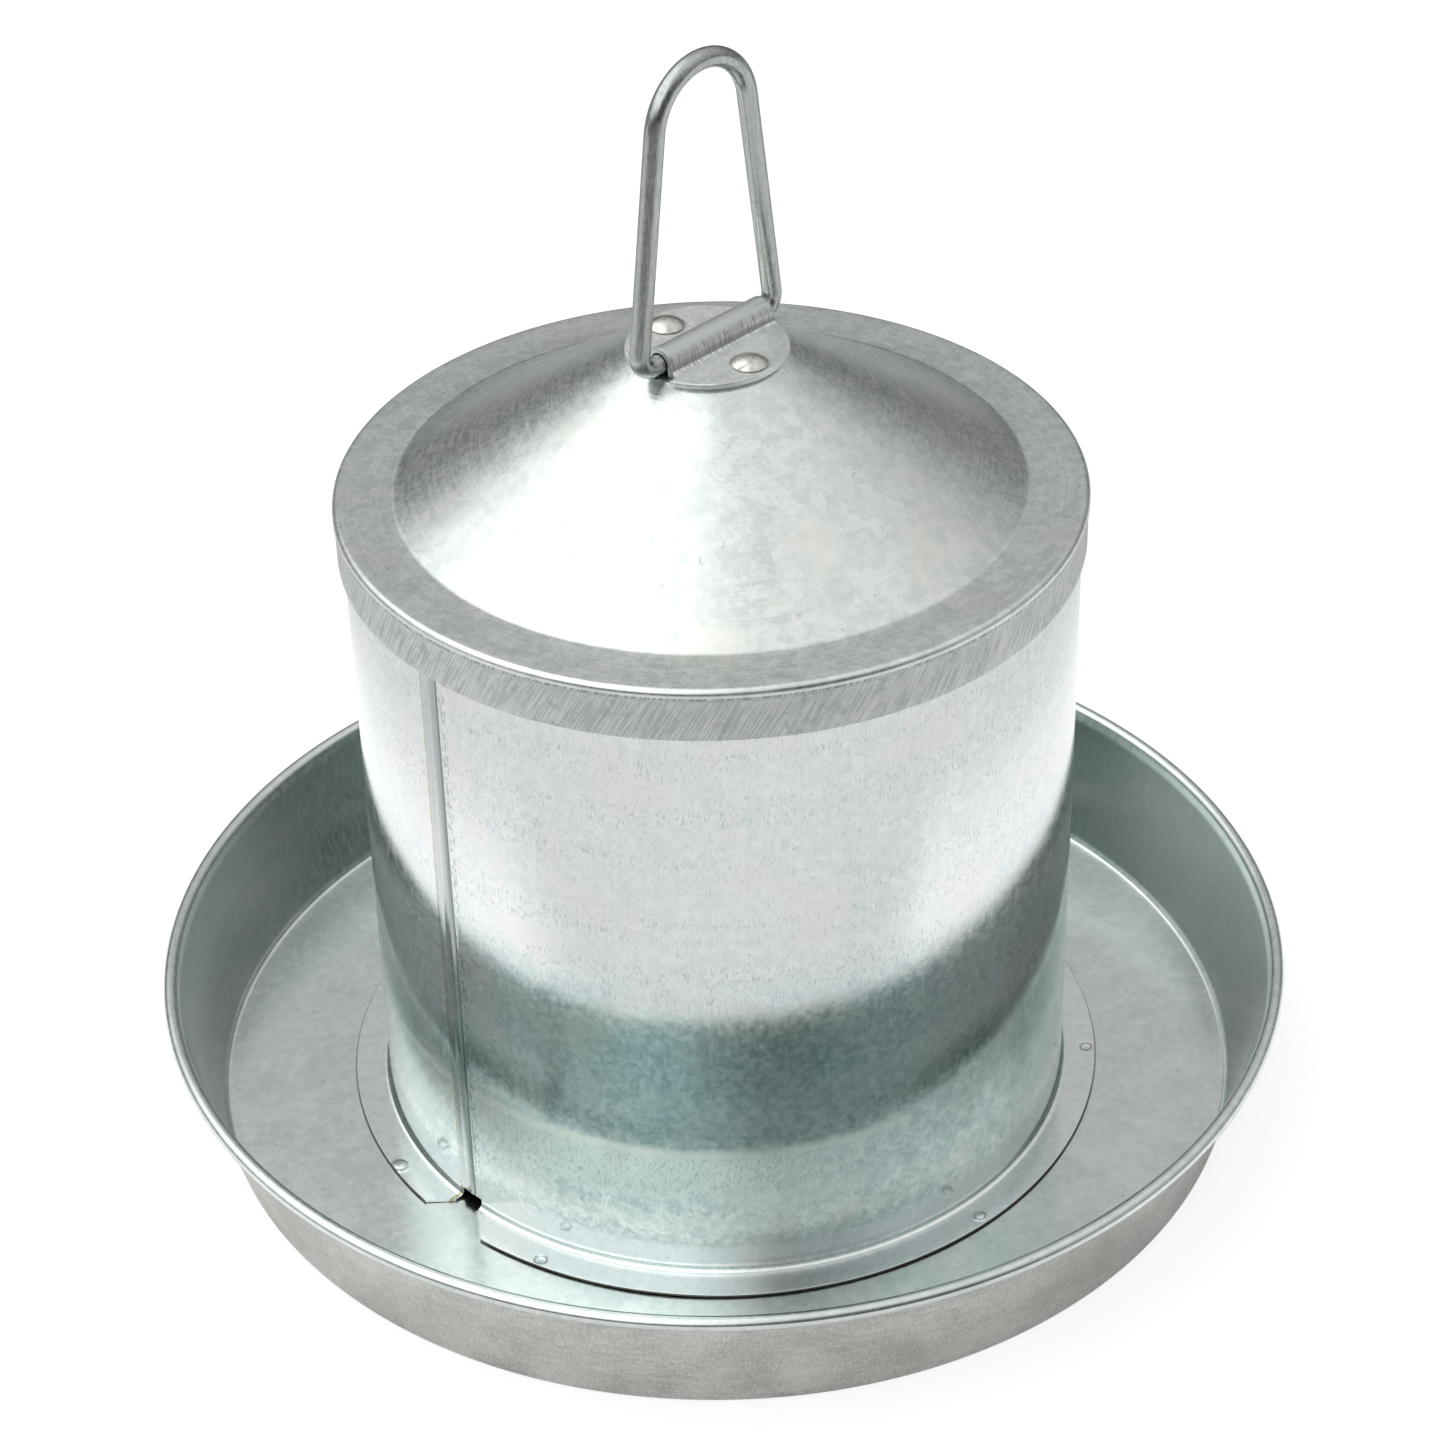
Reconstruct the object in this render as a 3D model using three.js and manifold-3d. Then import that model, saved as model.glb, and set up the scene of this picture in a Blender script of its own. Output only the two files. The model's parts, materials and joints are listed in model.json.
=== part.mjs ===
// Poultry waterer fount of galvanised sheet steel: a drinking tray with a fixed outer wall,
// and a lift-out bell tank whose lid carries a wire bail.
// Millimetres, +Z up, the axis of the tray on Z and its underside at z = 0.

import * as THREE from "three";
import Module from "manifold-3d";

const wasm = await Module();
wasm.setup();

// Sheet and fits
const sheet = 0.6;
const seat_gap = 0.2;
const segments = 72;

// Drinking tray
const tray_base_r = 137.4;
const tray_corner_r = 1.8;
const rim_outer_r = 150.0;
const rim_roll_r = 1.9;
const rim_roll_z = 36.9;
const rim_curl_end_deg = -136;

// Outer wall, fixed to the tray floor by its foot flange
const wall_r = 92.0;
const wall_top_z = 179.9;
const wall_bend_r = 1.6;
const foot_flange_r = 101.2;
const foot_z = sheet + seat_gap;
const seam_deg = -137.6;
const seam_width = 5.2;
const seam_height = 0.5;
const notch_height = 2.6;

// Bell tank inside the outer wall
const tank_r = 87.5;
const tank_bottom_z = 14.0;
const tank_flange_r = 90.6;
const tank_bend_r = 1.0;
const tank_hem = 1.2;

// Lid
const skirt_r = 93.7;
const skirt_bottom_z = 166.9;
const skirt_step = 0.3;
const skirt_step_z = 178.2;
const lid_corner_r = 1.5;
const annulus_z = 180.8;
const cone_foot_r = 78.6;
const plateau_r = 19.0;
const plateau_z = 217.4;

// Hinge plate with its pressed knuckle, lying across the plateau
const hinge_deg = 45;
const plate_r = 20.1;
const plate_thick = 1.2;
const plate_z = plateau_z + seat_gap;
const wire_r = 2.5;
const hinge_z = plateau_z + 0.15 + wire_r;
const knuckle_inner_r = wire_r + 0.35;
const knuckle_foot_r = 1.0;
const knuckle_front_end = -16.3;
const knuckle_back_end = 19.5;
const wire_gap_half = 6.2;

// Rivets and their sealing washers
const rivet_offset = 14.1;
const rivet_shank_r = 2.35;
const rivet_hole_r = 2.55;
const rivet_head_r = 4.8;
const rivet_head_height = 1.9;
const rivet_tail_r = 3.9;
const rivet_tail_height = 1.4;
const washer_r = 4.5;
const washer_thick = 1.2;

// Bail
const bail_pin_gap = 1.5;
const bail_pin_end = 18.7;
const bail_bend_r = 4.0;
const bail_top_r = 15.5;
const bail_top_z = 293.2;
const bail_leg_foot = 22.7;

// Bayonet lock between the tank and the outer wall
const lock_count = 3;
const keeper_first_deg = 30;
const lug_turn_deg = 16;
const keeper_half_deg = 4.5;
const lug_half_deg = 3.0;
const keeper_leaf_r = wall_r - sheet - 0.4;
const keeper_shelf_r = tank_r + 0.8;
const keeper_z = 16;
const keeper_height = 12;
const lug_inner_r = tank_r + 0.3;
const lug_outer_r = keeper_leaf_r - 1.2;
const lug_z = 22.0;
const lug_height = 3.6;

const rad = THREE.MathUtils.degToRad;
const v2 = (x, y) => new THREE.Vector2(x, y);

function metal(colour, roughness) {
  return new THREE.MeshStandardMaterial({ color: colour, roughness, metalness: 1.0 });
}

const root = new THREE.Group();
root.name = "poultry_waterer_fount";

function add(name, geometry, material) {
  const mesh = new THREE.Mesh(geometry, material);
  mesh.name = name;
  root.add(mesh);
  return mesh;
}

// Points of an arc in a profile plane, both ends included.
function arc(cx, cy, r, from_deg, to_deg, steps) {
  const points = [];
  for (let i = 0; i <= steps; i++) {
    const a = rad(from_deg + ((to_deg - from_deg) * i) / steps);
    points.push(v2(cx + r * Math.cos(a), cy + r * Math.sin(a)));
  }
  return points;
}

// Turns a profile of (radius, height) points about +Z. The points run anticlockwise with the
// radius to the right, and the first point is repeated at the end if the profile is a ring.
function turned(points, count = segments) {
  const geometry = new THREE.LatheGeometry(points, count);
  geometry.rotateX(Math.PI / 2);
  geometry.rotateZ(Math.PI / 2);
  return geometry;
}

function ring(points, count = segments) {
  return turned([...points, points[0].clone()], count);
}

function toSolid(geometry) {
  const position = geometry.getAttribute("position");
  const index = geometry.index;
  const corners = index ? index.count : position.count;
  const keys = new Map();
  const vertices = [];
  const triangles = [];
  for (let i = 0; i < corners; i++) {
    const k = index ? index.getX(i) : i;
    const p = [position.getX(k), position.getY(k), position.getZ(k)];
    const key = p.map((c) => Math.round(c * 1e4)).join(" ");
    if (!keys.has(key)) {
      keys.set(key, vertices.length / 3);
      vertices.push(...p);
    }
    triangles.push(keys.get(key));
  }
  const kept = [];
  for (let i = 0; i < triangles.length; i += 3) {
    const [a, b, c] = triangles.slice(i, i + 3);
    if (a !== b && b !== c && c !== a) kept.push(a, b, c);
  }
  return new wasm.Manifold(
    new wasm.Mesh({
      numProp: 3,
      vertProperties: new Float32Array(vertices),
      triVerts: new Uint32Array(kept),
    }),
  );
}

function toGeometry(solid) {
  const mesh = solid.getMesh();
  const geometry = new THREE.BufferGeometry();
  geometry.setAttribute("position", new THREE.BufferAttribute(mesh.vertProperties, 3));
  geometry.setIndex(new THREE.BufferAttribute(mesh.triVerts, 1));
  const flat = geometry.toNonIndexed();
  flat.computeVertexNormals();
  return flat;
}

// A prism on a plan outline, from one height to another.
function prism(outline, z_low, z_high) {
  const shape = new THREE.Shape(outline);
  const geometry = new THREE.ExtrudeGeometry(shape, {
    depth: z_high - z_low,
    bevelEnabled: false,
    curveSegments: 1,
  });
  return toSolid(geometry.translate(0, 0, z_low));
}

function polar(r, deg) {
  return v2(r * Math.cos(rad(deg)), r * Math.sin(rad(deg)));
}

// Plan outline of a strip that follows a circle.
function curvedStrip(r_inner, r_outer, centre_deg, half_deg, steps = 4) {
  const from = centre_deg - half_deg;
  const to = centre_deg + half_deg;
  return [...arc(0, 0, r_outer, from, to, steps), ...arc(0, 0, r_inner, to, from, steps)];
}

function cylinder(r, z_low, z_high, count) {
  const profile = [v2(0, z_low), v2(r, z_low), v2(r, z_high), v2(0, z_high)];
  return toSolid(turned(profile, count));
}

// ---------------------------------------------------------------- tray

const galvanised_tray = metal("#b9c1bf", 0.32);
const galvanised_wall = metal("#b4bdbb", 0.3);
const spun_lid = metal("#bdc4c3", 0.28);
const hidden_sheet = metal("#aab3b1", 0.4);
const plate_metal = metal("#b2b9b7", 0.38);
const wire_metal = metal("#9ea6a4", 0.34);
const rivet_metal = metal("#c6bfb2", 0.25);

const rim_centre_r = rim_outer_r - rim_roll_r;
const wall_foot_outer = v2(tray_base_r, tray_corner_r);
const rim_inner_r = rim_centre_r - rim_roll_r;
const tray_lean_deg = THREE.MathUtils.radToDeg(
  Math.atan2(rim_inner_r - wall_foot_outer.x, rim_roll_z - wall_foot_outer.y),
);
const curl_start_deg = 180 - tray_lean_deg;
const tray_inner_corner_r = tray_corner_r - sheet;
const tray_corner_x = tray_base_r - tray_corner_r;
const tray_profile = [
  v2(0, 0),
  ...arc(tray_corner_x, tray_corner_r, tray_corner_r, -90, -tray_lean_deg, 4),
  ...arc(rim_centre_r, rim_roll_z, rim_roll_r - sheet, curl_start_deg, rim_curl_end_deg, 9),
  ...arc(rim_centre_r, rim_roll_z, rim_roll_r, rim_curl_end_deg, 0, 5).slice(0, -1),
  ...arc(rim_centre_r, rim_roll_z, rim_roll_r, 0, curl_start_deg, 7),
  ...arc(tray_corner_x, tray_corner_r, tray_inner_corner_r, -tray_lean_deg, -90, 3),
  v2(0, sheet),
];
add("tray", turned(tray_profile), galvanised_tray);

// ---------------------------------------------------------------- outer wall

const bend_x = wall_r + wall_bend_r;
const bend_z = foot_z + sheet + wall_bend_r;
const outer_wall_profile = [
  v2(foot_flange_r, foot_z),
  v2(foot_flange_r, foot_z + sheet),
  ...arc(bend_x, bend_z, wall_bend_r, 270, 180, 4),
  v2(wall_r, wall_top_z),
  v2(wall_r - sheet, wall_top_z),
  ...arc(bend_x, bend_z, wall_bend_r + sheet, 180, 270, 4),
];
const seam_half_deg = THREE.MathUtils.radToDeg(seam_width / 2 / wall_r);
const seam_strip = prism(
  curvedStrip(wall_r - sheet / 2, wall_r + seam_height, seam_deg, seam_half_deg, 2),
  foot_z + sheet + 1.2,
  wall_top_z,
);
const notch = prism(
  [
    polar(90, seam_deg - 1.2),
    polar(95, seam_deg - 1.2),
    polar(104, seam_deg - 5.2),
    polar(104, seam_deg + 9.8),
    polar(94.5, seam_deg + 3.2),
    polar(90, seam_deg + 3.2),
  ],
  foot_z - 1,
  foot_z + sheet + notch_height,
);
const outer_wall = toSolid(ring(outer_wall_profile)).add(seam_strip).subtract(notch);
add("outer_wall", toGeometry(outer_wall), galvanised_wall);

// ---------------------------------------------------------------- bell tank

const tank_top_z = annulus_z - sheet - seat_gap;
const tank_bend_x = tank_r + tank_bend_r;
const tank_bend_z = tank_top_z - sheet - tank_bend_r;
const tank_profile = [
  v2(tank_r, tank_bottom_z),
  ...arc(tank_bend_x, tank_bend_z, tank_bend_r, 180, 90, 3),
  v2(tank_flange_r, tank_top_z - sheet),
  v2(tank_flange_r, tank_top_z),
  ...arc(tank_bend_x, tank_bend_z, tank_bend_r + sheet, 90, 180, 3),
  v2(tank_r - sheet, tank_bottom_z + tank_hem + 3.2),
  v2(tank_r - sheet - tank_hem / 2, tank_bottom_z + tank_hem + 2.6),
  v2(tank_r - sheet - tank_hem / 2, tank_bottom_z),
];
add("tank_wall", ring(tank_profile), hidden_sheet);

// ---------------------------------------------------------------- lid

const lower_skirt_r = skirt_r - skirt_step;
const lid_corner_x = skirt_r - lid_corner_r;
const lid_corner_z = annulus_z - lid_corner_r;
const cone_deg = THREE.MathUtils.radToDeg(
  Math.atan2(plateau_z - annulus_z, cone_foot_r - plateau_r),
);
const half_turn = Math.tan(rad(cone_deg / 2)) * sheet;
const lid_profile = [
  v2(0, plateau_z - sheet),
  v2(plateau_r - half_turn, plateau_z - sheet),
  v2(cone_foot_r - half_turn, annulus_z - sheet),
  ...arc(lid_corner_x, lid_corner_z, lid_corner_r - sheet, 90, 0, 3),
  v2(skirt_r - sheet, skirt_step_z - 0.3),
  v2(lower_skirt_r - sheet, skirt_step_z - 0.7),
  v2(lower_skirt_r - sheet, skirt_bottom_z),
  v2(lower_skirt_r, skirt_bottom_z),
  v2(lower_skirt_r, skirt_step_z - 0.4),
  v2(skirt_r, skirt_step_z),
  ...arc(lid_corner_x, lid_corner_z, lid_corner_r, 0, 90, 5),
  v2(cone_foot_r, annulus_z),
  v2(plateau_r, plateau_z),
  v2(0, plateau_z),
];
const across = (along, off, z) => {
  const c = Math.cos(rad(hinge_deg));
  const s = Math.sin(rad(hinge_deg));
  return new THREE.Vector3(along * c - off * s, along * s + off * c, z);
};
let lid = toSolid(turned(lid_profile));
for (const side of [1, -1]) {
  const p = across(0, side * rivet_offset, 0);
  lid = lid.subtract(cylinder(rivet_hole_r, plateau_z - 5, plateau_z + 5, 20).translate(p.x, p.y, 0));
}
add("lid", toGeometry(lid), spun_lid);

// ---------------------------------------------------------------- hinge plate

// Cross-section of the plate and its knuckle, seen along the hinge, off-axis distance against
// height. The knuckle is a half-round ridge pressed up out of the flat plate.
const ridge_r = knuckle_inner_r + plate_thick;
const plate_top_z = plate_z + plate_thick;
const foot_x = ridge_r + knuckle_foot_r;
const ridge_half = [
  v2(plate_r + 1, plate_z),
  v2(plate_r + 1, plate_top_z),
  v2(foot_x, plate_top_z),
  v2(foot_x - 0.6, plate_top_z + 0.15),
  v2(ridge_r + 0.1, plate_top_z + 0.6),
];
const mirrored = (points) => points.map((p) => v2(-p.x, p.y)).reverse();
const plate_section = [
  v2(knuckle_inner_r, plate_z),
  ...ridge_half,
  ...arc(0, hinge_z, ridge_r, 5, 175, 12),
  ...mirrored(ridge_half),
  v2(-knuckle_inner_r, plate_z),
  ...arc(0, hinge_z, knuckle_inner_r, 180, 0, 10),
];
const pressed = new THREE.ExtrudeGeometry(new THREE.Shape(plate_section), {
  depth: knuckle_back_end + plate_r,
  bevelEnabled: false,
  curveSegments: 1,
});
pressed.rotateX(Math.PI / 2);
pressed.rotateZ(rad(90 + hinge_deg));
const front = across(-plate_r, 0, 0);
pressed.translate(front.x, front.y, 0);
// The foot of the wire turns up in front of the knuckle, in a gap in the edge of the plate.
const wire_gap = prism(
  [
    across(-plate_r - 1, -wire_gap_half, 0),
    across(knuckle_front_end, -wire_gap_half, 0),
    across(knuckle_front_end, wire_gap_half, 0),
    across(-plate_r - 1, wire_gap_half, 0),
  ],
  plate_z - 1,
  hinge_z + 10,
);
let plate = toSolid(pressed)
  .intersect(cylinder(plate_r, plate_z - 1, hinge_z + 10, 64))
  .subtract(wire_gap);
for (const side of [1, -1]) {
  const p = across(0, side * rivet_offset, 0);
  plate = plate.subtract(cylinder(rivet_hole_r, plate_z - 5, plate_z + 5, 20).translate(p.x, p.y, 0));
}
add("hinge_plate", toGeometry(plate), plate_metal);

// ---------------------------------------------------------------- rivets and washers

const head_under_z = plate_top_z + 0.1;
const washer_top_z = plateau_z - sheet - 0.1;
const washer_low_z = washer_top_z - washer_thick;
const tail_z = washer_low_z - 0.1;
const dome_r = (rivet_head_r ** 2 + rivet_head_height ** 2) / (2 * rivet_head_height);
const dome_deg = THREE.MathUtils.radToDeg(Math.asin(rivet_head_r / dome_r));
const dome_z = head_under_z + rivet_head_height - dome_r;
const rivet_profile = [
  v2(0, tail_z - rivet_tail_height),
  v2(rivet_tail_r - 0.6, tail_z - rivet_tail_height),
  v2(rivet_tail_r, tail_z - 0.7),
  v2(rivet_tail_r, tail_z),
  v2(rivet_shank_r, tail_z),
  v2(rivet_shank_r, head_under_z),
  v2(rivet_head_r - 0.1, head_under_z),
  ...arc(0, dome_z, dome_r, 90 - dome_deg + 2, 90, 5).slice(0, -1),
  v2(0, head_under_z + rivet_head_height),
];
const washer_profile = [
  v2(rivet_hole_r + 0.1, washer_low_z),
  v2(washer_r, washer_low_z),
  v2(washer_r, washer_top_z),
  v2(rivet_hole_r + 0.1, washer_top_z),
];
const rubber = new THREE.MeshStandardMaterial({ color: "#2b2b2b", roughness: 0.85, metalness: 0 });
[1, -1].forEach((side, i) => {
  const p = across(0, side * rivet_offset, 0);
  const rivet = add("rivet_" + (i + 1), turned(rivet_profile, 24), rivet_metal.clone());
  rivet.position.copy(p);
  const washer = add("rivet_washer_" + (i + 1), ring(washer_profile, 24), rubber.clone());
  washer.position.copy(p);
});

// ---------------------------------------------------------------- bail

// Sweeps a round wire along points of (along the hinge, height), in the upright plane of the hinge.
function sweptWire(points, r, sides) {
  const vertices = [];
  const triangles = [];
  points.forEach((p, i) => {
    const a = points[Math.max(i - 1, 0)];
    const b = points[Math.min(i + 1, points.length - 1)];
    const way = v2(b.x - a.x, b.y - a.y).normalize();
    const out = v2(-way.y, way.x);
    for (let k = 0; k < sides; k++) {
      const t = (2 * Math.PI * k) / sides;
      const lean = r * Math.cos(t);
      const place = across(p.x + out.x * lean, r * Math.sin(t), p.y + out.y * lean);
      vertices.push(place.x, place.y, place.z);
    }
  });
  for (let i = 0; i + 1 < points.length; i++) {
    for (let k = 0; k < sides; k++) {
      const next = (k + 1) % sides;
      const [a, b] = [i * sides + k, i * sides + next];
      const [c, d] = [a + sides, b + sides];
      triangles.push(a, c, b, b, c, d);
    }
  }
  const last = (points.length - 1) * sides;
  for (let k = 1; k + 1 < sides; k++) {
    triangles.push(0, k, k + 1);
    triangles.push(last, last + k + 1, last + k);
  }
  const geometry = new THREE.BufferGeometry();
  geometry.setAttribute("position", new THREE.Float32BufferAttribute(vertices, 3));
  geometry.setIndex(triangles);
  const flat = geometry.toNonIndexed();
  flat.computeVertexNormals();
  return flat;
}

// One half of the bail, from its pin inside the knuckle up to the middle of the top.
const top_centre_z = bail_top_z - bail_top_r;
const leg_foot_z = hinge_z + bail_bend_r;
const leg_reach = Math.hypot(bail_leg_foot, top_centre_z - leg_foot_z);
const leg_foot_bearing = Math.atan2(leg_foot_z - top_centre_z, bail_leg_foot);
const touch_deg = THREE.MathUtils.radToDeg(leg_foot_bearing + Math.acos(bail_top_r / leg_reach));
const bail_half = [
  v2(bail_pin_gap, hinge_z),
  ...arc(bail_pin_end, hinge_z + bail_bend_r, bail_bend_r, -90, -90 + 90 + touch_deg, 6),
  ...arc(0, top_centre_z, bail_top_r, touch_deg, 90, 9),
];
const bail_points = [...mirrored(bail_half).reverse(), ...bail_half.slice(0, -1).reverse()];
add("bail", sweptWire(bail_points, wire_r, 14), wire_metal);

// ---------------------------------------------------------------- bayonet lock

for (let i = 0; i < lock_count; i++) {
  const at = keeper_first_deg + (360 / lock_count) * i;
  const leaf = curvedStrip(keeper_leaf_r - 0.8, keeper_leaf_r, at, keeper_half_deg);
  const shelf = curvedStrip(keeper_shelf_r, keeper_leaf_r, at, keeper_half_deg);
  const shelf_low = keeper_z + keeper_height - 1.2;
  const keeper = prism(leaf, keeper_z, keeper_z + keeper_height)
    .add(prism(shelf, shelf_low, keeper_z + keeper_height));
  add("lock_keeper_" + (i + 1), toGeometry(keeper), hidden_sheet.clone());

  const lug_at = at + lug_turn_deg;
  const lug = prism(curvedStrip(lug_inner_r, lug_outer_r, lug_at, lug_half_deg), lug_z, lug_z + lug_height);
  add("lock_lug_" + (i + 1), toGeometry(lug), hidden_sheet.clone());
}

export default root;
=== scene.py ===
"""Looks of the poultry waterer fount: fine sheet-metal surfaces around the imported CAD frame.

Profiles are in millimetres and meshes in metres, in the frame of the CAD part: the axis of the
tray is +Z, the underside of the tray is at z = 0 and the seam of the outer wall is front left.
Bearings are degrees round +Z from +X. The camera stands at -Y.
"""
import json
import math

import bmesh
import bpy
import numpy as np
from mathutils import Matrix, Vector


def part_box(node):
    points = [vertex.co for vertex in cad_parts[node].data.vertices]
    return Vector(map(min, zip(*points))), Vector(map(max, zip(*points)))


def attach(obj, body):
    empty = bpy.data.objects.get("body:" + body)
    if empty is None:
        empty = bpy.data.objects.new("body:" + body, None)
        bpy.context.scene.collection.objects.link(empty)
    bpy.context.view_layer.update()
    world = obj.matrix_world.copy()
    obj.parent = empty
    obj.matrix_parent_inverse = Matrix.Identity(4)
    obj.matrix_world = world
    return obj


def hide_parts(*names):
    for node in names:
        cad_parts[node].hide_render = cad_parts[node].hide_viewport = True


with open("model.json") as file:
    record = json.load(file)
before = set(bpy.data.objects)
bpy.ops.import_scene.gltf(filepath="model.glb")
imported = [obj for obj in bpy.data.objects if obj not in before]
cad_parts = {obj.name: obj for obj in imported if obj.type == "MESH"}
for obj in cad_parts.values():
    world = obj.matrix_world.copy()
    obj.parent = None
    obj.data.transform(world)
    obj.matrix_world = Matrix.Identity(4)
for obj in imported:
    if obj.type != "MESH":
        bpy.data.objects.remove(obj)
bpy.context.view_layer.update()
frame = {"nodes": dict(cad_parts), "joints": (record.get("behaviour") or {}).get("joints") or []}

MM = 0.001
TAU = 2 * math.pi
SHARP_DEG = 35


def corners(node):
    """Lowest and highest corner of a CAD node, in millimetres."""
    low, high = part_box(node)
    return low / MM, high / MM


# ------------------------------------------------------------------ driving dimensions, mm
_, tray_high = corners("tray")
wall_low, wall_high = corners("outer_wall")
tank_low, tank_high = corners("tank_wall")
lid_low, lid_high = corners("lid")
plate_low, _ = corners("hinge_plate")
_, bail_high = corners("bail")
hinge = next(j for j in frame["joints"] if j["name"] == "bail_swing")

SHEET = 0.6

RIM_OUTER_R = tray_high.x
RIM_ROLL_R = 1.9
RIM_ROLL_R_CENTRE = RIM_OUTER_R - RIM_ROLL_R
RIM_ROLL_Z = tray_high.z - RIM_ROLL_R
RIM_CURL_END = -136
TRAY_BASE_R = 137.4
TRAY_CORNER_R = 1.8
TRAY_FLAT_R = 60
TRAY_PRESS_LINE_Z = 19.5

WALL_R = 92.0
WALL_TOP_Z = wall_high.z
WALL_BEND_R = 1.6
FOOT_R = wall_high.x
FOOT_Z = wall_low.z
FLANGE_TOP_Z = FOOT_Z + SHEET
SEAM_DEG = -137.6
SEAM_WIDTH = 5.2
SEAM_HEIGHT = 0.42
NOTCH_HEIGHT = 2.6
# The marbling low on the wall carries a teal tint that is painted shade from the tray.
MARBLE_AND_SHADE_TO_Z = 78  # the marbling fades from here up to the top of the dull band
BAND_TOP_Z = 100
SCUFF_Z = 40.6

TANK_R = 87.5
TANK_BOTTOM_Z = tank_low.z
TANK_TOP_Z = tank_high.z
TANK_FLANGE_R = tank_high.x
TANK_BEND_R = 1.0
TANK_HEM = 0.6

SKIRT_R = lid_high.x
SKIRT_BOTTOM_Z = lid_low.z
SKIRT_STEP = 0.3
SKIRT_STEP_Z = 178.2
LID_CORNER_R = 1.5
ANNULUS_Z = 180.8
CONE_FOOT_R = 78.6
CONE_FOOT_BEND = 2.5
PLATEAU_R = 19.0
PLATEAU_Z = lid_high.z
SPIN_GROOVE_PITCH = 1.2

HINGE_COS = math.cos(math.radians(45))
HINGE_SIN = math.sin(math.radians(45))
HINGE_Z = hinge["pos_m"][2] / MM
PLATE_R = 20.1
PLATE_THICK = 1.2
PLATE_Z = plate_low.z
WIRE_R = 2.5
KNUCKLE_R = 2.85
KNUCKLE_FRONT = -16.3
KNUCKLE_BACK = 19.5
WIRE_GAP_HALF = 6.2

RIVET_OFFSET = 14.1
RIVET_HEAD_R = 4.8
RIVET_HEAD_HEIGHT = 1.9
RIVET_SHANK_R = 2.35
RIVET_HOLE_R = 2.55
RIVET_TAIL_R = 3.9
RIVET_TAIL_HEIGHT = 1.4
WASHER_R = 4.5
WASHER_HOLE_R = 2.65

BAIL_PIN_GAP = 1.5
BAIL_PIN_END = 18.7
BAIL_BEND_R = 4.0
BAIL_TOP_R = 15.5
BAIL_TOP_Z = bail_high.z - WIRE_R
BAIL_LEG_FOOT = 22.7


# ------------------------------------------------------------------ shape helpers
def arc(cx, cy, r, start, end, steps):
    """Points of an arc in a profile plane, angles in degrees."""
    turns = np.radians(np.linspace(start, end, steps + 1))
    return [(cx + r * math.cos(a), cy + r * math.sin(a)) for a in turns]


def line(a, b, step=2.5):
    """Points from a to b, without b, about one step apart."""
    count = max(1, round(math.dist(a, b) / step))
    return [(a[0] + (b[0] - a[0]) * i / count, a[1] + (b[1] - a[1]) * i / count) for i in range(count)]


def through(*stretches):
    """One profile from arcs and corners, with straight stretches between them cut into steps."""
    points = []
    for stretch in stretches:
        stretch = stretch if isinstance(stretch, list) else [stretch]
        if points:
            points.extend(line(points.pop(), stretch[0]))
        points.extend(stretch)
    return points


def link(name, vertices, faces, sharp_deg=SHARP_DEG):
    """A smooth-shaded mesh object, with its edges over the given angle kept sharp."""
    mesh = bpy.data.meshes.new(name)
    mesh.from_pydata([tuple(v) for v in vertices], [], faces)
    mesh.validate()
    body = bmesh.new()
    body.from_mesh(mesh)
    bmesh.ops.remove_doubles(body, verts=body.verts, dist=1e-7)
    bmesh.ops.recalc_face_normals(body, faces=body.faces)
    body.to_mesh(mesh)
    body.free()
    mesh.shade_smooth()
    mesh.set_sharp_from_angle(angle=math.radians(sharp_deg))
    piece = bpy.data.objects.new(name, mesh)
    bpy.context.scene.collection.objects.link(piece)
    return piece


def lathe(name, profile, bearings, closed, warp=None, centre=(0, 0)):
    """Turns a profile of (radius, height) in mm about +Z at the given bearings in degrees.

    A closed profile is a ring. An open one starts and ends on the axis. warp(r, z, bearing)
    gives how far each point moves outwards and upwards, in mm.
    """
    r = np.array([p[0] for p in profile])
    z = np.array([p[1] for p in profile])
    turn = np.asarray(bearings, float)
    rr, tt = np.meshgrid(r, turn)
    zz, _ = np.meshgrid(z, turn)
    if warp:
        out, lift = warp(rr, zz, tt)
        rr, zz = rr + out, zz + lift
    x = rr * np.cos(np.radians(tt)) + centre[0]
    y = rr * np.sin(np.radians(tt)) + centre[1]
    vertices = np.stack([x, y, zz], axis=-1).reshape(-1, 3) * MM
    count, rows = len(profile), len(turn)
    spans = range(count) if closed else range(count - 1)
    faces = []
    for j in range(rows):
        a, b = j * count, (j + 1) % rows * count
        for i in spans:
            k = (i + 1) % count
            faces.append((a + i, b + i, b + k, a + k))
    return link(name, vertices, faces)


def bearings_with(count, *windows):
    """Bearings round the circle, with more of them inside each (centre, half width, step)."""
    turn = list(np.linspace(-180, 180, count, endpoint=False))
    for centre, half, step in windows:
        near = [a for a in turn if abs((a - centre + 180) % 360 - 180) > half]
        turn = near + list(np.arange(centre - half, centre + half + step / 2, step))
    return sorted((a + 180) % 360 - 180 for a in turn)


def cut(piece, cutter):
    """Takes the cutter's volume away from a piece, and removes the cutter."""
    tool = piece.modifiers.new("cut", "BOOLEAN")
    tool.operation, tool.object, tool.solver = "DIFFERENCE", cutter, "EXACT"
    shaped = piece.evaluated_get(bpy.context.evaluated_depsgraph_get())
    mesh = bpy.data.meshes.new_from_object(shaped)
    piece.modifiers.clear()
    piece.data = mesh
    bpy.data.objects.remove(cutter)
    mesh.shade_smooth()
    mesh.set_sharp_from_angle(angle=math.radians(SHARP_DEG))


def across(along, off, z):
    """A point in the hinge's own directions, in mm: along the pin, beside it, and up."""
    return (along * HINGE_COS - off * HINGE_SIN, along * HINGE_SIN + off * HINGE_COS, z)


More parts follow.
